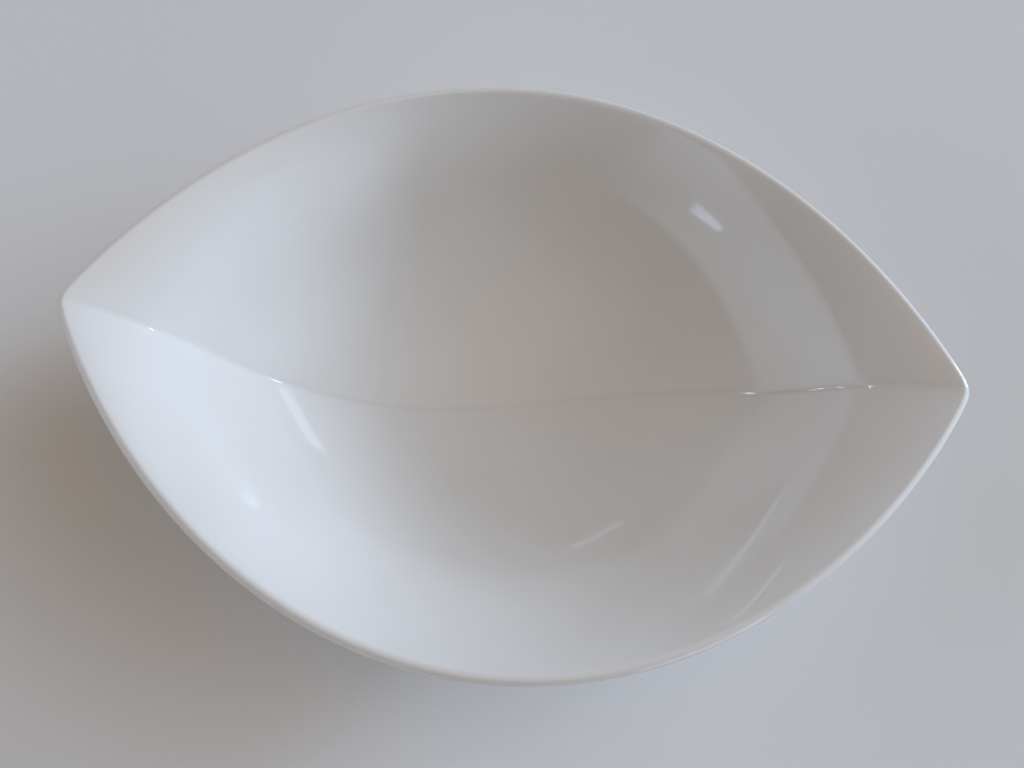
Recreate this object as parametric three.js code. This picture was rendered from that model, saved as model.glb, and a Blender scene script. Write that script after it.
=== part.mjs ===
// Leaf-shaped serving dish: a porcelain shell of two lobes that meet in an S-curved valley, on a foot ring.
// Millimetres, +Z up, X from tip to tip. The origin lies on the table under the middle of the dish.

import * as THREE from 'three';

// Rim
const LENGTH = 300; // over the lip, tip to tip
const WIDTH = 213; // over the lip at mid length
const RIM_ARC_OFFSET = 160; // from the centre line to the centre of each of the rim's two elliptic arcs
const TIP_RADIUS = 4.5; // plan rounding of the inner edge at each tip
const TIP_RISE = 4.4; // the tips' inner edge above the inner edge at mid length
const TIP_SLOPE = THREE.MathUtils.degToRad(18); // how steeply the flared tips still climb at their edge
const LIP_RADIUS = 2.1; // the lip is a full round, so the wall there is twice this

// Bowl
const DEPTH = 56; // from the inner edge at mid length down to the floor
const FLOOR_WALL = 5.5; // wall at the middle of the floor
const FLOOR_ASPECT = 0.92; // width over length of the smallest contours, nearly round
const VALLEY_ARC_RADIUS = 174; // long arc of the valley, before it turns over into the flare
const VALLEY_FILLET = 2.5; // rounding of the valley's bottom, seen along it
const VALLEY_CREASE = 0.35; // depth of the sharp crease along the valley's line
const VALLEY_CREASE_REACH = 6; // how far from the line most of that depth is gone
const VALLEY_SWAY = 7.2; // how far the valley swings to each side of the centre line
const VALLEY_SWAY_LEAD = 0.32; // share of the sway that is drawn in towards the middle

// Foot ring, an oval
const FOOT_LENGTH = 92; // over the ring where it meets the shell
const FOOT_WIDTH = 74; // the same across the dish
const FOOT_WALL = 6; // ring wall where it meets the shell
const FOOT_DRAFT = 0.8; // how far each face of the ring leans in on its way to the table
const FOOT_CHAMFER = 0.8; // bevel on both edges of the standing face
const FOOT_CLEARANCE = 2.15; // of the shell's lowest point above the table
const SLIP_JOINT = 0.3; // between the ring and the shell

// Fineness of the skins
const QUARTER_STEPS = 22; // around, from a tip to mid length
const FLOOR_STEPS = 6; // contours inside the foot ring
const FOOT_STEPS = 2; // contours across the foot ring
const WALL_STEPS = 18; // contours from the foot ring to the rim
const LIP_STEPS = 8; // round the lip
const TIP_CROWDING = 1.5; // draws the steps around towards the tips
const TIP_BLEND = 30; // keeps the tips' larger rounding close to the rim
const CREASE_BLEND = 8; // keeps the crease's fading close to the rim
const NUDGE = 1e-4; // step of the slopes taken by differences
const HALVINGS = 40; // of a search by halving

// Inner edge and the arcs of the two main sections
const sideSlope = 2 * Math.atan(2 * DEPTH / WIDTH);
const halfLength = LENGTH / 2 - LIP_RADIUS * (1 + Math.sin(TIP_SLOPE));
const halfWidth = WIDTH / 2 - LIP_RADIUS * (1 + Math.sin(sideSlope));
const sideArcRadius = (halfWidth ** 2 + DEPTH ** 2) / (2 * DEPTH);
const tipHeight = DEPTH + TIP_RISE;
const flareRadius = (halfLength ** 2 + tipHeight ** 2 - 2 * VALLEY_ARC_RADIUS * tipHeight)
  / (2 * (VALLEY_ARC_RADIUS * (1 - Math.cos(TIP_SLOPE))
    - halfLength * Math.sin(TIP_SLOPE) + tipHeight * Math.cos(TIP_SLOPE)));
const flareCentreX = halfLength + flareRadius * Math.sin(TIP_SLOPE);
const flareCentreZ = tipHeight - flareRadius * Math.cos(TIP_SLOPE);
const flareStart = flareCentreX * VALLEY_ARC_RADIUS / (VALLEY_ARC_RADIUS + flareRadius);
const valleyFloor = FOOT_CLEARANCE + FLOOR_WALL;
const floorHeight = valleyFloor + VALLEY_CREASE;
const widening = FLOOR_ASPECT * halfLength / halfWidth - 1;
const floorPoint = (1 / FLOOR_ASPECT ** 2 - 1) / 2;
const rimPoint = RIM_ARC_OFFSET / halfWidth;

// Height of the valley above the floor's lowest point: one arc, then a reversed one out to the tip.
function valleyHeight(x) {
  if (x < flareStart) {
    return VALLEY_ARC_RADIUS - Math.sqrt(VALLEY_ARC_RADIUS ** 2 - x ** 2);
  }
  return flareCentreZ + Math.sqrt(flareRadius ** 2 - (flareCentreX - x) ** 2);
}

// Rise of the valley for each length along it.
function valleySlope(x) {
  if (x < flareStart) {
    return x / Math.sqrt(VALLEY_ARC_RADIUS ** 2 - x ** 2);
  }
  const outward = flareCentreX - x;
  return outward / Math.sqrt(flareRadius ** 2 - outward ** 2);
}

// Height of the section across mid length, a single arc.
function sideHeight(y) {
  return sideArcRadius - Math.sqrt(sideArcRadius ** 2 - y ** 2);
}

// Elliptic arc from (reach, 0) over (0, rise); point is its centre's offset below the chord, over the rise.
function ellipticArc(reach, rise, point) {
  const offset = point * rise;
  const semiY = rise + offset;
  const startAngle = Math.asin(point / (1 + point));
  const semiX = reach / Math.cos(startAngle);
  return { offset, semiX, semiY, startAngle };
}

const rimArc = ellipticArc(halfLength, halfWidth, rimPoint);

function rimHalfWidth(x) {
  return rimArc.semiY * Math.sqrt(1 - (x / rimArc.semiX) ** 2) - rimArc.offset;
}

// Sideways swing of the valley, nothing at the rim.
function sway(x, y) {
  const phase = Math.PI * x / halfLength;
  const swing = VALLEY_SWAY * Math.sin(phase) * (1 + VALLEY_SWAY_LEAD * Math.cos(phase));
  const share = y / Math.max(rimHalfWidth(x), NUDGE);
  return swing * Math.max(0, 1 - share ** 2);
}

// Point of the inner skin. level runs from 0 at the floor's middle to 1 at the rim, around from 0 to 1 once
// round from the +X tip. A contour is a pointed oval of two elliptic arcs with its points rounded off.
function innerPoint(level, around) {
  const turns = 4 * (around - Math.floor(around));
  const quarter = Math.floor(turns);
  const part = quarter % 2 === 0 ? turns - quarter : quarter + 1 - turns;
  const signX = quarter === 0 || quarter === 3 ? 1 : -1;
  const signY = quarter < 2 ? 1 : -1;

  const reach = halfLength * level;
  const rise = halfWidth * level * (1 + widening * (1 - level ** 2));
  const point = floorPoint + (rimPoint - floorPoint) * level ** 2;
  const crease = VALLEY_FILLET * valleySlope(reach);
  const rounding = crease + (TIP_RADIUS - crease) * level ** TIP_BLEND;
  const steepness = rise / reach * (2 + 1 / point);
  const trim = rounding / steepness;

  const arc = ellipticArc(reach, Math.hypot(rise, trim) - trim, point);
  const angle = arc.startAngle + (Math.PI / 2 - arc.startAngle) * part ** TIP_CROWDING;
  const x = arc.semiX * Math.cos(angle);
  const pointedY = Math.max(0, arc.semiY * Math.sin(angle) - arc.offset);
  const y = Math.sqrt(pointedY * (pointedY + 2 * trim));

  const middle = sideHeight(rise);
  const along = (x / reach) ** 2;
  const groove = VALLEY_CREASE * Math.exp(-y / VALLEY_CREASE_REACH) * (1 - level ** CREASE_BLEND);
  const height = middle + (valleyHeight(reach) - middle) * along * (2 - along) - groove;
  return new THREE.Vector3(signX * x, signY * y + sway(signX * x, y), floorHeight + height);
}

// Inward normal of the inner skin.
function innerNormal(level, around) {
  const outward = innerPoint(level, around).sub(innerPoint(level - NUDGE, around));
  const onward = innerPoint(level, around + NUDGE).sub(innerPoint(level, around - NUDGE));
  return outward.cross(onward).normalize();
}

function wallAt(level) {
  return FLOOR_WALL + (2 * LIP_RADIUS - FLOOR_WALL) * level ** 2;
}

function outerPoint(level, around) {
  return innerPoint(level, around).addScaledVector(innerNormal(level, around), -wallAt(level));
}

// Point on the lip's half round; turn runs from 0 at the inner edge to 1 at the outer edge.
function lipPoint(turn, around) {
  const inward = innerNormal(1, around);
  const onward = innerPoint(1, around + NUDGE).sub(innerPoint(1, around - NUDGE));
  const outward = onward.cross(inward).normalize();
  const centre = innerPoint(1, around).addScaledVector(inward, -LIP_RADIUS);
  return centre
    .addScaledVector(inward, LIP_RADIUS * Math.cos(Math.PI * turn))
    .addScaledVector(outward, LIP_RADIUS * Math.sin(Math.PI * turn));
}

// Rows of points once round the dish
const columns = 4 * QUARTER_STEPS;

function rowOf(pointAt) {
  return Array.from({ length: columns }, (_, column) => pointAt(column / columns, column));
}

function steps(from, to, count) {
  return Array.from({ length: count }, (_, step) => from + (to - from) * (step + 1) / count);
}

// Skin over rows of points; the ends close on a pole each, or the last row joins the first one.
function skin(rows, poles) {
  const points = rows.flat();
  const triangles = [];
  const corner = (row, column) => (row % rows.length) * columns + column % columns;
  const bands = poles ? rows.length - 1 : rows.length;
  for (let row = 0; row < bands; row++) {
    for (let column = 0; column < columns; column++) {
      const [a, b] = [corner(row, column), corner(row, column + 1)];
      const [c, d] = [corner(row + 1, column), corner(row + 1, column + 1)];
      triangles.push(a, c, b, b, c, d);
    }
  }
  if (poles) {
    const [first, last] = [points.push(poles[0]) - 1, points.push(poles[1]) - 1];
    for (let column = 0; column < columns; column++) {
      triangles.push(first, corner(0, column), corner(0, column + 1));
      triangles.push(last, corner(rows.length - 1, column + 1), corner(rows.length - 1, column));
    }
  }
  const geometry = new THREE.BufferGeometry().setFromPoints(points);
  geometry.setIndex(triangles);
  geometry.computeVertexNormals();
  return geometry;
}

// Level at which the shell's underside crosses the foot's oval, drawn in by inset.
function footLevel(inset, around) {
  const semiX = FOOT_LENGTH / 2 - inset;
  const semiY = FOOT_WIDTH / 2 - inset;
  let inside = 2 * NUDGE;
  let outside = 1;
  for (let halving = 0; halving < HALVINGS; halving++) {
    const middle = (inside + outside) / 2;
    const point = outerPoint(middle, around);
    if (Math.hypot(point.x / semiX, point.y / semiY) < 1) {
      inside = middle;
    } else {
      outside = middle;
    }
  }
  return outside;
}

// Levels of one column of points, from the floor's middle past the ring's two faces to the rim. Both skins of
// the shell and the top of the ring share them.
function columnLevels(around) {
  const ringInner = footLevel(FOOT_WALL, around);
  const ringOuter = footLevel(0, around);
  return [
    ...steps(0, ringInner, FLOOR_STEPS),
    ...steps(ringInner, ringOuter, FOOT_STEPS),
    ...steps(ringOuter, 1, WALL_STEPS),
  ];
}

const levels = rowOf(columnLevels);
const ringInnerRow = FLOOR_STEPS - 1;
const ringOuterRow = ringInnerRow + FOOT_STEPS;
const rimRow = ringOuterRow + WALL_STEPS;

function innerRow(row) {
  return rowOf((around, column) => innerPoint(levels[column][row], around));
}

function outerRow(row) {
  return rowOf((around, column) => outerPoint(levels[column][row], around));
}

function rowRange(from, to, rowAt) {
  return Array.from({ length: to - from + 1 }, (_, step) => rowAt(from + step));
}

function shellGeometry() {
  const inner = rowRange(0, rimRow, innerRow);
  const lip = steps(0, 1, LIP_STEPS).map((turn) => rowOf((around) => lipPoint(turn, around)));
  const outer = rowRange(0, rimRow - 1, outerRow).reverse();
  const poles = [new THREE.Vector3(0, 0, valleyFloor), new THREE.Vector3(0, 0, FOOT_CLEARANCE)];
  return skin([...inner, ...lip, ...outer], poles);
}

// The ring's top follows the shell's underside; its faces lean in to a bevelled standing face on the table.
function footGeometry() {
  const top = rowRange(ringInnerRow, ringOuterRow, outerRow);
  top.flat().forEach((point) => point.setZ(point.z - SLIP_JOINT));
  const below = (row, inset, height) => row.map((point) => {
    const plan = new THREE.Vector2(point.x, point.y);
    plan.setLength(plan.length() - inset);
    return new THREE.Vector3(plan.x, plan.y, height);
  });
  const innerEdge = top[0];
  const outerEdge = top[FOOT_STEPS];
  const bevelled = FOOT_DRAFT + FOOT_CHAMFER;
  const faces = [
    below(outerEdge, FOOT_DRAFT, FOOT_CHAMFER),
    below(outerEdge, bevelled, 0),
    below(innerEdge, -bevelled, 0),
    below(innerEdge, -FOOT_DRAFT, FOOT_CHAMFER),
  ];
  return skin([...top, ...faces], null);
}

const glaze = new THREE.MeshStandardMaterial({ color: 0xebe7e0, roughness: 0.12, metalness: 0 });
const bareClay = new THREE.MeshStandardMaterial({ color: 0xe4ded2, roughness: 0.7, metalness: 0 });

function subPart(name, geometry, material) {
  const mesh = new THREE.Mesh(geometry, material);
  mesh.name = name;
  return mesh;
}

const dish = new THREE.Group();
dish.add(subPart('dish_body', shellGeometry(), glaze));
dish.add(subPart('foot_ring', footGeometry(), bareClay));

export default dish;
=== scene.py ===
"""Looks of the leaf-shaped porcelain serving dish, in metres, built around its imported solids."""

import math

import bpy
import numpy as np
from mathutils import Matrix, Vector


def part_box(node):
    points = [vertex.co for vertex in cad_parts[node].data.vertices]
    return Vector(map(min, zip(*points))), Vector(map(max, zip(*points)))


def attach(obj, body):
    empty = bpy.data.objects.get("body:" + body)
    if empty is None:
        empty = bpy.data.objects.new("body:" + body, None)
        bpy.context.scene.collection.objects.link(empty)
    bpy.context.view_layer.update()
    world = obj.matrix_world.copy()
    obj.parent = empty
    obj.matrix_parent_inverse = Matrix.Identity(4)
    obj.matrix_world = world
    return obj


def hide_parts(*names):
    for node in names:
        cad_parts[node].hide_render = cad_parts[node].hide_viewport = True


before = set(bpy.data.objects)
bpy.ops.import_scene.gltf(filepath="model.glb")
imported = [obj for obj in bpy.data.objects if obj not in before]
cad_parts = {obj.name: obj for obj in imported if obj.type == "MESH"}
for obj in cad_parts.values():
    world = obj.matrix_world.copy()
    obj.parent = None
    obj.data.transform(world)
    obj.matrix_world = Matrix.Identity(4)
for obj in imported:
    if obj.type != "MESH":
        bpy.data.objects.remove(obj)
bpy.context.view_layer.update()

SHELL_LOW, SHELL_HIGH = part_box("dish_body")
FOOT_LOW, FOOT_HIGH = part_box("foot_ring")
MM = 0.001

# Rim
LENGTH = SHELL_HIGH.x - SHELL_LOW.x
WIDTH = SHELL_HIGH.y - SHELL_LOW.y
RIM_ARC_OFFSET = 160 * MM  # from the centre line to the centre of each of the rim's two elliptic arcs
TIP_RADIUS = 4.5 * MM  # plan rounding of the inner edge at each tip
TIP_RISE = 4.4 * MM  # the tips' inner edge above the inner edge at mid length
TIP_SLOPE = math.radians(18)  # how steeply the flared tips still climb at their edge
LIP_RADIUS = 2.1 * MM  # the lip is a full round

# Bowl
DEPTH = 56 * MM  # from the inner edge at mid length down to the floor
FLOOR_WALL = 5.5 * MM  # wall at the middle of the floor
FLOOR_ASPECT = 0.92  # width over length of the smallest contours
VALLEY_ARC_RADIUS = 174 * MM  # long arc of the valley, before it turns over into the flare
VALLEY_FILLET = 5 * MM  # rounding of the valley's bottom, seen along it
VALLEY_CREASE = 0.35 * MM  # depth of the sharp crease along the valley's line
VALLEY_CREASE_REACH = 6 * MM  # how far from the line most of that depth is gone
VALLEY_SWAY = 7.2 * MM  # how far the valley swings to each side of the centre line
VALLEY_SWAY_LEAD = 0.32  # share of the sway that is drawn in towards the middle

# Foot ring
FOOT_LENGTH = FOOT_HIGH.x - FOOT_LOW.x
FOOT_WIDTH = FOOT_HIGH.y - FOOT_LOW.y
FOOT_WALL = 6 * MM  # ring wall where it meets the shell
FOOT_DRAFT = 0.8 * MM  # how far each face of the ring leans in on its way to the table
FOOT_EDGE = 0.8 * MM  # rounding of both edges of the standing face
FOOT_FILLET = 2.2 * MM  # hollow where the ring runs into the shell
FOOT_SEAM = 0.03 * MM  # how far the edge of that hollow is let into the shell
FOOT_SINK = 0.8 * MM  # how far the ring's hidden top reaches into the shell's wall
FOOT_CLEARANCE = SHELL_LOW.z  # from the table to the shell

# Fineness of the skins
QUARTER_STEPS = 60
WALL_ROWS = 100
LIP_ROWS = 20
ARC_ROWS = 6
TIP_CROWDING = 1.5  # draws the steps around towards the tips
TIP_BLEND = 30  # keeps the tips' larger rounding close to the rim
CREASE_BLEND = 8  # keeps the crease's fading close to the rim
NUDGE = 1e-4  # step of the slopes taken by differences
HALVINGS = 30  # of a search by halving

# Glaze; a scale counts a noise's bumps in a metre, and a span holds its values at the two ends of a ramp
GLAZE_IOR = 1.52
GLAZE_TONES = ((0.77, 0.745, 0.71), (0.80, 0.78, 0.75))
DRIFT_SCALE = 14.0
DRIFT_SPAN = (0.35, 0.65)
GLAZE_ROUGHNESS = (0.05, 0.09)
POLISH_SCALE = 60.0
POLISH_SPAN = (0.3, 0.7)
WAVE_SCALE = 45.0
WAVE_HEIGHT = 0.25 * MM
WAVE_STRENGTH = 0.12
PEEL_SCALE = 500.0
PEEL_HEIGHT = 0.02 * MM
PEEL_STRENGTH = 0.15
# Darker tone along the valley: partly pooled glaze, partly painted shade of the crease
POOL_AND_SHADE_TONE = (0.75, 0.725, 0.69)
POOL_AND_SHADE_REACH = 1.2 * MM  # half width of the darker line along the valley, partly pooled glaze and partly painted crease shade
POOL_AND_SHADE_SHIFT = 0.8 * MM  # from the valley's line to the middle of that darker line, towards +Y, the crease's shaded side

# Finish of the foot ring
CLAY_TONES = ((0.70, 0.66, 0.60), (0.78, 0.745, 0.69))
CLAY_ROUGHNESS = 0.6
GRAIN_SCALE = 900.0
GRAIN_SPAN = (0.3, 0.7)
GRAIN_HARSHNESS = 0.7
FOOT_GLAZE_TONE = (0.785, 0.76, 0.73)
FOOT_GLAZE_ROUGHNESS = 0.07
GLAZE_LINE = 1.3 * MM  # height of the glaze's wiped edge on the foot ring
GLAZE_LINE_SCALE = 70.0
GLAZE_LINE_WOBBLE = 0.5 * MM
GLAZE_LINE_BLUR = 0.15 * MM

# Floor and backdrop
FLOOR_SIZE = 8.0
FLOOR_TONE = (0.78, 0.77, 0.76)
FLOOR_ROUGHNESS = 0.8
FLOOR_SHEEN = 0.1
BACKDROP_TONE = (0.72, 0.71, 0.70)

# Directions are an azimuth from +X towards +Y and an elevation; they and the angles below are in degrees

# Photograph's camera
IMAGE_WIDTH = 1024  # pixels
FOCAL_LENGTH = 950  # pixels
SENSOR_WIDTH = 36.0
CLIP_START = 0.01
CAMERA_DIRECTION = (-93.03, 68.08)
CAMERA_ROLL = 8.51
CAMERA_DISTANCE = 310.2 * MM
CAMERA_AIM = Vector((-0.65, -12.17, 63.0)) * MM

# Lamps: name, directions of both ends, width across, level; a level of 1 is white
LAMP_DISTANCE = 15.0
CATCH_LEVEL = 12.0
COOL = (0.81, 1.0, 1.27)
LAMPS = (
    ("key_softbox", (25, 15), (37, 15), 9.0, 35.2),
    ("low_panel", (-61.5, 5), (-37.5, 5), 7.0, 7.8),
    ("strip_back_right", (47.3, 32), (53, 28.7), 3.0, 2.2),
    ("strip_front_left", (-135, 20), (-143, 19), 1.3, 4.5),
    ("strip_back_left", (105, 18), (112, 21), 1.5, 1.2),
    ("strip_back_left_low", (110, 5.9), (120, 6.6), 1.4, 0.9),
    ("catch_back_left", (144, 40.5), (158, 44.5), 1.2, CATCH_LEVEL),
    ("catch_left", (155, 33), (169, 33), 1.05, CATCH_LEVEL),
    ("catch_right", (24, 44), (36, 38), 1.4, CATCH_LEVEL),
)

# Room light: direction of its middle, angles from there at which it is dark and at which it is full, level
WARM = (1.0, 0.60, 0.15)
ROOM_LEVEL = 0.1
OVERHEAD = ((48, 87), 42, 0, 0.68)
GLOW = ((21, 30.4), 51, 0, 2.25)
PATCH = ((-12, 22), 31.5, 28, 0.35)
WINDOW = ((185, -7), 50, 0, 1.95)
SIDE = ((122, 12), 34, 20, 0.55)
SHADE = ((16, 35), 89, 93, 1.0)  # keeps the window and the side light off the glow's half of the room
BAND = ((-135.6, 58.3), 41.7, 39.5, 0.95)
BAND_HOLLOW = ((-130, 67), 34, 37, 1.0)  # takes the inside of the band away, which leaves a crescent
BAND_END = ((-70, 20), 25, 60, 1.0)  # lets one end of the crescent fade out

# Inner edge and the arcs of the two main sections
side_slope = 2 * math.atan(2 * DEPTH / WIDTH)
half_length = LENGTH / 2 - LIP_RADIUS * (1 + math.sin(TIP_SLOPE))
half_width = WIDTH / 2 - LIP_RADIUS * (1 + math.sin(side_slope))
side_arc_radius = (half_width**2 + DEPTH**2) / (2 * DEPTH)

# The flare's arc touches the valley's long arc and ends at the tip with the tip's slope
tip_height = DEPTH + TIP_RISE
flare_gap = half_length**2 + tip_height**2 - 2 * VALLEY_ARC_RADIUS * tip_height
flare_turn = VALLEY_ARC_RADIUS * (1 - math.cos(TIP_SLOPE))
flare_turn += tip_height * math.cos(TIP_SLOPE) - half_length * math.sin(TIP_SLOPE)
flare_radius = flare_gap / (2 * flare_turn)
flare_centre_x = half_length + flare_radius * math.sin(TIP_SLOPE)
flare_centre_z = tip_height - flare_radius * math.cos(TIP_SLOPE)
flare_start = flare_centre_x * VALLEY_ARC_RADIUS / (VALLEY_ARC_RADIUS + flare_radius)

# Heights and proportions of the contours, from the floor's smallest one to the rim
valley_floor = FOOT_CLEARANCE + FLOOR_WALL
floor_height = valley_floor + VALLEY_CREASE
widening = FLOOR_ASPECT * half_length / half_width - 1
floor_point = (1 / FLOOR_ASPECT**2 - 1) / 2
rim_point = RIM_ARC_OFFSET / half_width

columns = 4 * QUARTER_STEPS
AROUND = np.arange(columns) / columns


def valley_height(x):
    """Height of the valley above the floor: one arc, then a reversed one out to the tip."""
    low = VALLEY_ARC_RADIUS - np.sqrt(VALLEY_ARC_RADIUS**2 - np.minimum(x, flare_start) ** 2)
    flare = flare_centre_z + np.sqrt(flare_radius**2 - (flare_centre_x - np.maximum(x, flare_start)) ** 2)
    return np.where(x < flare_start, low, flare)


def valley_slope(x):
    """Rise of the valley for each length along it."""
    inward = np.minimum(x, flare_start)
    outward = flare_centre_x - np.maximum(x, flare_start)
    low = inward / np.sqrt(VALLEY_ARC_RADIUS**2 - inward**2)
    flare = outward / np.sqrt(flare_radius**2 - outward**2)
    return np.where(x < flare_start, low, flare)


def side_height(y):
    """Height of the section across mid length, a single arc."""
    return side_arc_radius - np.sqrt(side_arc_radius**2 - y**2)


def rim_half_width(x):
    """Half width of the inner edge, an elliptic arc."""
    offset = rim_point * half_width
    start = math.asin(rim_point / (1 + rim_point))
    semi_x = half_length / math.cos(start)
    return (half_width + offset) * np.sqrt(1 - (x / semi_x) ** 2) - offset


def sway(x, y):
    """Sideways swing of the valley, nothing at the rim."""
    phase = np.pi * x / half_length
    swing = VALLEY_SWAY * np.sin(phase) * (1 + VALLEY_SWAY_LEAD * np.cos(phase))
    share = y / np.maximum(rim_half_width(x), NUDGE * half_width)
    return swing * np.maximum(0, 1 - share**2)


def inner_points(level, around):
    """Points of the inner skin; level is 0 at the floor's middle and 1 at the rim, around goes once round."""
    level, around = np.broadcast_arrays(level, around)
    turns = 4 * (around - np.floor(around))
    quarter = np.floor(turns)
    part = np.where(quarter % 2 == 0, turns - quarter, quarter + 1 - turns)
    sign_x = np.where((quarter == 0) | (quarter == 3), 1.0, -1.0)
    sign_y = np.where(quarter < 2, 1.0, -1.0)

    reach = half_length * level
    rise = half_width * level * (1 + widening * (1 - level**2))
    point = floor_point + (rim_point - floor_point) * level**2
    crease = VALLEY_FILLET * valley_slope(reach)
    rounding = crease + (TIP_RADIUS - crease) * level**TIP_BLEND
    trim = rounding / (rise / reach * (2 + 1 / point))

    pointed_rise = np.hypot(rise, trim) - trim
    offset = point * pointed_rise
    start = np.arcsin(point / (1 + point))
    angle = start + (np.pi / 2 - start) * part**TIP_CROWDING
    x = reach / np.cos(start) * np.cos(angle)
    pointed_y = np.maximum(0, (pointed_rise + offset) * np.sin(angle) - offset)
    y = np.sqrt(pointed_y * (pointed_y + 2 * trim))

    middle = side_height(rise)
    along = (x / reach) ** 2
    groove = VALLEY_CREASE * np.exp(-y / VALLEY_CREASE_REACH) * (1 - level**CREASE_BLEND)
    height = middle + (valley_height(reach) - middle) * along * (2 - along) - groove
    return np.stack([sign_x * x, sign_y * y + sway(sign_x * x, y), floor_height + height], axis=-1)


def unit(vectors):
    return vectors / np.linalg.norm(vectors, axis=-1, keepdims=True)


def inner_normals(level, around):
    """Normals of the inner skin, into the hollow."""
    outward = inner_points(level, around) - inner_points(level - NUDGE, around)
    onward = inner_points(level, around + NUDGE) - inner_points(level, around - NUDGE)
    return unit(np.cross(outward, onward))


def outer_points(level, around):
    """Points of the outer skin, a wall away from the inner one."""
    wall = FLOOR_WALL + (2 * LIP_RADIUS - FLOOR_WALL) * np.asarray(level) ** 2
    return inner_points(level, around) - inner_normals(level, around) * wall[..., None]


def lip_points(turn, around):
    """Points of the lip's half round; turn is 0 at the inner edge and 1 at the outer edge."""
    inward = inner_normals(1.0, around)
    onward = inner_points(1.0, around + NUDGE) - inner_points(1.0, around - NUDGE)
    outward = unit(np.cross(onward, inward))
    centre = inner_points(1.0, around) - inward * LIP_RADIUS
    return centre + LIP_RADIUS * (inward * math.cos(math.pi * turn) + outward * math.sin(math.pi * turn))


def foot_levels(inset, around):
    """Levels at which the shell's underside crosses the foot's oval, drawn in by inset."""
    inside = np.full_like(around, 2 * NUDGE)
    outside = np.ones_like(around)
    for _ in range(HALVINGS):
        middle = (inside + outside) / 2
        points = outer_points(middle, around)
        span = np.hypot(points[:, 0] / (FOOT_LENGTH / 2 - inset), points[:, 1] / (FOOT_WIDTH / 2 - inset))
        inside = np.where(span < 1, middle, inside)
        outside = np.where(span < 1, outside, middle)
    return outside


def add_object(name, data):
    made = bpy.data.objects.new(name, data)
    bpy.context.scene.collection.objects.link(made)
    return made


def skin(name, rows, poles=None, sharp=()):
    """Smooth mesh over rows of points, with an edge along the rows numbered in sharp.

    Its ends close on two poles, or the last row joins the first one.
    """
    count = len(rows)
    points = np.concatenate(rows)
    faces = []
    for row in range(count - 1 if poles else count):
        lower, upper = row * columns, (row + 1) % count * columns
        for column in range(columns):
            onward = (column + 1) % columns
            faces.append((lower + column, upper + column, upper + onward, lower + onward))
    if poles:
        first = len(points)
        last_row = (count - 1) * columns
        points = np.concatenate([points, poles])
        for column in range(columns):
            onward = (column + 1) % columns
            faces.append((first, column, onward))
            faces.append((first + 1, last_row + onward, last_row + column))
    mesh = bpy.data.meshes.new(name)
    mesh.from_pydata(points.tolist(), [], faces)
    mesh.polygons.foreach_set("use_smooth", [True] * len(mesh.polygons))
    mesh.update()
    for edge in mesh.edges:
        first_row, second_row = (number // columns for number in edge.vertices)
        edge.use_edge_sharp = first_row == second_row and first_row in sharp
    return add_object(name, mesh)


def mark(piece, name, values):
    """Stores one number for each point of the piece."""
    made = piece.data.attributes.new(name, "FLOAT", "POINT")
    made.data.foreach_set("value", values)


def pool_and_shade_share(points):
    """Share of pooled glaze and painted crease shade at points of the inner skin, 1 at most."""
    from_pool_and_shade = points[:, 1] - sway(points[:, 0], 0) - POOL_AND_SHADE_SHIFT
    return np.exp(-((from_pool_and_shade / POOL_AND_SHADE_REACH) ** 2))


def make_shell():
    levels = [(row + 1) / WALL_ROWS for row in range(WALL_ROWS)]
    inner = [inner_points(level, AROUND) for level in levels]
    lip = [lip_points((row + 1) / LIP_ROWS, AROUND) for row in range(LIP_ROWS)]
    outer = [outer_points(level, AROUND) for level in reversed(levels[:-1])]
    poles = [(0, 0, valley_floor), (0, 0, FOOT_CLEARANCE)]
    shell = skin("porcelain_shell", inner + lip + outer, poles)

    # share of pooled glaze and painted crease shade along the valley, for each point of the inner skin
    pool_and_shade = np.concatenate([pool_and_shade_share(row) for row in inner])
    elsewhere = np.zeros(len(shell.data.vertices) - len(pool_and_shade))
    mark(shell, "pool_and_crease_shade", np.append(pool_and_shade, elsewhere))
    return shell


def make_foot():
    """Ring with rounded standing edges that runs into the shell in a hollow on both sides."""

    def underside(inset):
        return outer_points(foot_levels(inset, AROUND), AROUND)

    def moved(row, inset, height):
        plan = row[:, :2]
        length = np.linalg.norm(plan, axis=1, keepdims=True)
        return np.column_stack([plan * (1 - inset / length), np.broadcast_to(height, len(row))])

    def face(inset, side):
        """Rows down one face: side is 1 for the outer face and -1 for the inner one."""
        turns = [step / ARC_ROWS * math.pi / 2 for step in range(ARC_ROWS + 1)]
        seat = underside(inset)
        sunk = underside(inset - side * FOOT_FILLET)
        sunk[:, 2] += FOOT_SINK
        rows = [sunk]
        for turn in turns:
            row = underside(inset - side * FOOT_FILLET * (1 - math.sin(turn)))
            row[:, 2] += FOOT_SEAM - FOOT_FILLET * (1 - math.cos(turn))
            rows.append(row)
        for turn in turns:
            inward = FOOT_DRAFT + FOOT_EDGE * (1 - math.cos(turn))
            rows.append(moved(seat, side * inward, FOOT_EDGE * (1 - math.sin(turn))))
        return rows

    outer = face(0.0, 1)
    inner = face(FOOT_WALL, -1)
    inner.reverse()
    rows = outer + inner
    return skin("foot_ring_ware", rows, sharp=(1, len(rows) - 2))


def new_material(name):
    material = bpy.data.materials.new(name)
    material.use_nodes = True
    tree = material.node_tree
    return material, tree, tree.nodes["Principled BSDF"]


def node(tree, kind, **inputs):
    made = tree.nodes.new(kind)
    for name, value in inputs.items():
        made.inputs[name.replace("_", " ")].default_value = value
    return made


def place(tree):
    """Place on the piece, in its own metres."""
    return tree.nodes.new("ShaderNodeTexCoord").outputs["Object"]


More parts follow.
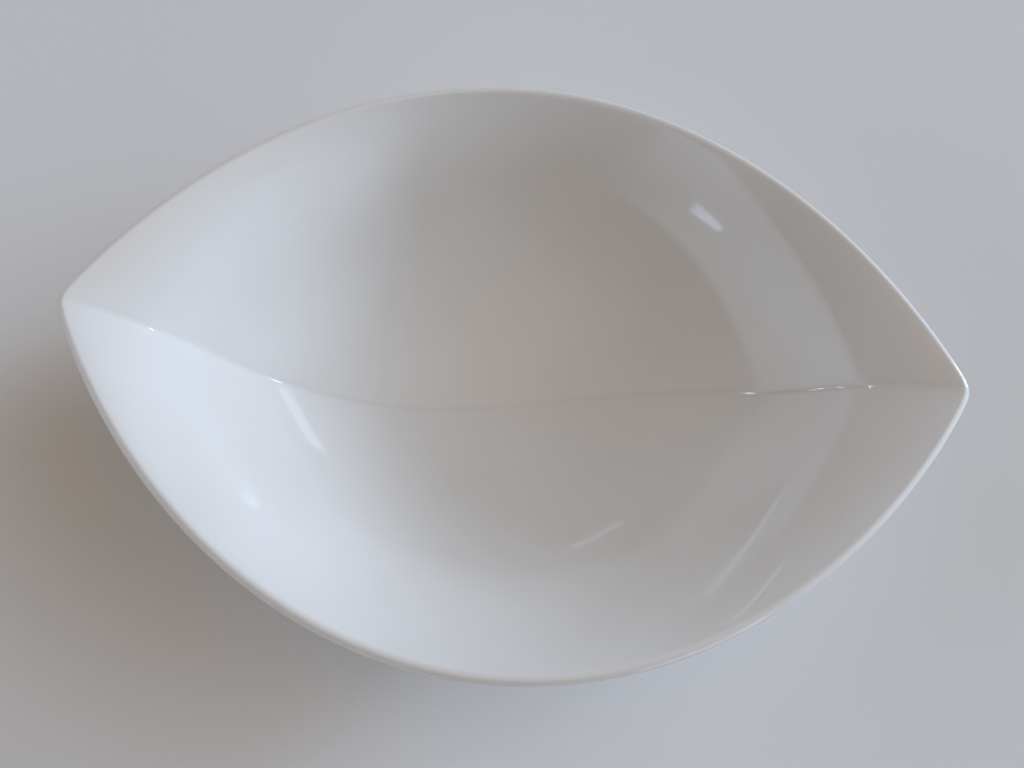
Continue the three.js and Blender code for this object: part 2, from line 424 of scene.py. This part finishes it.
def marked(tree, name):
    """Numbers that mark has stored."""
    made = tree.nodes.new("ShaderNodeAttribute")
    made.attribute_name = name
    return made.outputs["Fac"]


def noise(tree, scale, detail, roughness=0.5):
    made = node(tree, "ShaderNodeTexNoise", Scale=scale, Detail=detail, Roughness=roughness)
    tree.links.new(place(tree), made.inputs["Vector"])
    return made.outputs["Fac"]


def bump(tree, height, distance, strength, below=None):
    made = node(tree, "ShaderNodeBump", Distance=distance, Strength=strength)
    tree.links.new(height, made.inputs["Height"])
    if below is not None:
        tree.links.new(below, made.inputs["Normal"])
    return made.outputs["Normal"]


def ramp(tree, source, span, tones):
    """Goes from the first tone to the second over a span of the source."""
    made = tree.nodes.new("ShaderNodeValToRGB")
    for element, position, tone in zip(made.color_ramp.elements, span, tones):
        element.position = position
        element.color = (*tone, 1)
    tree.links.new(source, made.inputs["Fac"])
    return made.outputs["Color"]


def grey(value):
    return (value, value, value)


def blend(tree, share, first, second):
    """Colour that goes from first, a socket, to second, a plain tone, with share."""
    made = tree.nodes.new("ShaderNodeMix")
    made.data_type = "RGBA"
    share_socket, first_socket, second_socket = [socket for socket in made.inputs if socket.enabled]
    tree.links.new(share, share_socket)
    tree.links.new(first, first_socket)
    second_socket.default_value = (*second, 1)
    return [socket for socket in made.outputs if socket.enabled][0]


def calculate(tree, operation, *sources):
    """Result of a sum on one or two sources."""
    made = tree.nodes.new("ShaderNodeMath")
    made.operation = operation
    for source, socket in zip(sources, made.inputs):
        tree.links.new(source, socket)
    return made.outputs["Value"]


def remap(tree, source, before, after, interpolation="LINEAR"):
    """Spreads one span of the source over another; past its ends it stays level."""
    made = tree.nodes.new("ShaderNodeMapRange")
    made.interpolation_type = interpolation
    for name, value in zip(("From Min", "From Max", "To Min", "To Max"), (*before, *after)):
        made.inputs[name].default_value = value
    tree.links.new(source, made.inputs["Value"])
    return made.outputs["Result"]


def make_glaze():
    """Clear gloss glaze over white porcelain: faint drifts of tone, a darker line of pooled glaze and painted
    crease shade, waves, an orange peel.
    """
    material, tree, shader = new_material("porcelain_glaze")
    tone = ramp(tree, noise(tree, DRIFT_SCALE, detail=3.0), DRIFT_SPAN, GLAZE_TONES)
    # darker line along the valley: partly pooled glaze, partly painted shade of the crease
    pool_and_shade = blend(tree, marked(tree, "pool_and_crease_shade"), tone, POOL_AND_SHADE_TONE)
    tree.links.new(pool_and_shade, shader.inputs["Base Color"])
    polish = noise(tree, POLISH_SCALE, detail=2.0)
    gloss = ramp(tree, polish, POLISH_SPAN, [grey(value) for value in GLAZE_ROUGHNESS])
    tree.links.new(gloss, shader.inputs["Roughness"])
    waves = bump(tree, noise(tree, WAVE_SCALE, detail=1.0), WAVE_HEIGHT, WAVE_STRENGTH)
    peel = bump(tree, noise(tree, PEEL_SCALE, detail=2.0), PEEL_HEIGHT, PEEL_STRENGTH, waves)
    tree.links.new(peel, shader.inputs["Normal"])
    shader.inputs["IOR"].default_value = GLAZE_IOR
    return material


def make_bare_foot():
    """Glaze down to a wandering, wiped line, and bare clay below it and on the standing face."""
    material, tree, shader = new_material("foot_ring_finish")
    grain = noise(tree, GRAIN_SCALE, detail=4.0, roughness=GRAIN_HARSHNESS)
    clay = ramp(tree, grain, GRAIN_SPAN, CLAY_TONES)
    lowest, highest = GLAZE_LINE - GLAZE_LINE_WOBBLE, GLAZE_LINE + GLAZE_LINE_WOBBLE
    line = remap(tree, noise(tree, GLAZE_LINE_SCALE, detail=2.0), (0, 1), (lowest, highest))
    split = tree.nodes.new("ShaderNodeSeparateXYZ")
    tree.links.new(place(tree), split.inputs["Vector"])
    above = calculate(tree, "SUBTRACT", split.outputs["Z"], line)
    cover = remap(tree, above, (-GLAZE_LINE_BLUR, GLAZE_LINE_BLUR), (0, 1))
    tree.links.new(blend(tree, cover, clay, FOOT_GLAZE_TONE), shader.inputs["Base Color"])
    gloss = ramp(tree, cover, (0, 1), (grey(CLAY_ROUGHNESS), grey(FOOT_GLAZE_ROUGHNESS)))
    tree.links.new(gloss, shader.inputs["Roughness"])
    shader.inputs["IOR"].default_value = GLAZE_IOR
    return material


def make_floor():
    bpy.ops.mesh.primitive_plane_add(size=FLOOR_SIZE, location=(0, 0, 0))
    floor = bpy.context.object
    floor.name = "floor"
    material, _, shader = new_material("pale_floor")
    shader.inputs["Base Color"].default_value = (*FLOOR_TONE, 1)
    shader.inputs["Roughness"].default_value = FLOOR_ROUGHNESS
    shader.inputs["Specular IOR Level"].default_value = FLOOR_SHEEN
    floor.data.materials.append(material)


def aim(azimuth, elevation):
    """Unit vector from the dish in a direction."""
    turn, lift = math.radians(azimuth), math.radians(elevation)
    return Vector((math.cos(turn) * math.cos(lift), math.sin(turn) * math.cos(lift), math.sin(lift)))


def strip_lamp(name, start, end, width, level):
    """Lamp that faces the dish from between two directions; level is its brightness."""
    first, last = aim(*start), aim(*end)
    data = bpy.data.lights.new(name, "AREA")
    data.shape = "RECTANGLE"
    data.size = 2 * LAMP_DISTANCE * math.tan(first.angle(last) / 2)
    data.size_y = 2 * LAMP_DISTANCE * math.tan(math.radians(width) / 2)
    data.energy = level * math.pi * data.size * data.size_y
    data.color = COOL
    lamp = add_object(name, data)
    middle = (first + last).normalized()
    along = (last - first).normalized()
    turn = Matrix((along, middle.cross(along), middle)).transposed()
    lamp.matrix_world = Matrix.Translation(middle * LAMP_DISTANCE) @ turn.to_4x4()
    lamp.visible_camera = False


def make_world():
    """Dim warm room that is lighter overhead, with cool light from three sides.

    The cool light is a wide glow with a patch beside it behind the key lamp, a pale window and a side light
    opposite them, and a bright crescent. The camera itself sees a plain backdrop.
    """
    world = bpy.data.worlds.new("studio")
    bpy.context.scene.world = world
    world.use_nodes = True
    tree = world.node_tree
    towards = tree.nodes.new("ShaderNodeTexCoord").outputs["Generated"]

    def fade(direction, dark, full, level, lowest=0.0):
        """Level that rises from lowest to its full height between two angles from a direction."""
        off = tree.nodes.new("ShaderNodeVectorMath")
        off.operation = "DOT_PRODUCT"
        off.inputs[1].default_value = aim(*direction)
        tree.links.new(towards, off.inputs[0])
        angle = calculate(tree, "ARCCOSINE", off.outputs["Value"])
        return remap(tree, angle, (math.radians(dark), math.radians(full)), (lowest, level), "SMOOTHSTEP")

    room = tree.nodes["Background"]
    room.inputs["Color"].default_value = (*WARM, 1)
    tree.links.new(fade(*OVERHEAD, lowest=ROOM_LEVEL), room.inputs["Strength"])

    behind_key = calculate(tree, "ADD", fade(*GLOW), fade(*PATCH))
    opposite = calculate(tree, "ADD", fade(*WINDOW), fade(*SIDE))
    shaded = calculate(tree, "MULTIPLY", opposite, fade(*SHADE))
    hollowed = calculate(tree, "MULTIPLY", fade(*BAND), fade(*BAND_HOLLOW))
    crescent = calculate(tree, "MULTIPLY", hollowed, fade(*BAND_END))
    total = calculate(tree, "ADD", behind_key, calculate(tree, "ADD", shaded, crescent))
    cool = node(tree, "ShaderNodeBackground", Color=(*COOL, 1))
    tree.links.new(total, cool.inputs["Strength"])

    light = tree.nodes.new("ShaderNodeAddShader")
    tree.links.new(room.outputs["Background"], light.inputs[0])
    tree.links.new(cool.outputs["Background"], light.inputs[1])
    backdrop = node(tree, "ShaderNodeBackground", Color=(*BACKDROP_TONE, 1))
    seen = tree.nodes.new("ShaderNodeMixShader")
    tree.links.new(tree.nodes.new("ShaderNodeLightPath").outputs["Is Camera Ray"], seen.inputs["Fac"])
    tree.links.new(light.outputs["Shader"], seen.inputs[1])
    tree.links.new(backdrop.outputs["Background"], seen.inputs[2])
    tree.links.new(seen.outputs["Shader"], tree.nodes["World Output"].inputs["Surface"])


def make_camera():
    data = bpy.data.cameras.new("camera")
    data.sensor_fit = "HORIZONTAL"
    data.sensor_width = SENSOR_WIDTH
    data.lens = FOCAL_LENGTH / IMAGE_WIDTH * SENSOR_WIDTH
    data.clip_start = CLIP_START
    camera = add_object("camera", data)
    back = aim(*CAMERA_DIRECTION)
    right = Vector((0, 0, 1)).cross(back).normalized()
    level = Matrix((right, back.cross(right), back)).transposed()
    turn = level @ Matrix.Rotation(math.radians(CAMERA_ROLL), 3, "Z")
    camera.matrix_world = Matrix.Translation(CAMERA_AIM + back * CAMERA_DISTANCE) @ turn.to_4x4()
    bpy.context.scene.camera = camera


def dress(piece, material, node_name):
    piece.data.materials.append(material)
    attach(piece, "root")
    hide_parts(node_name)


make_camera()
dress(make_shell(), make_glaze(), "dish_body")
dress(make_foot(), make_bare_foot(), "foot_ring")
make_floor()
for lamp in LAMPS:
    strip_lamp(*lamp)
make_world()
bpy.context.scene.view_settings.view_transform = "Standard"
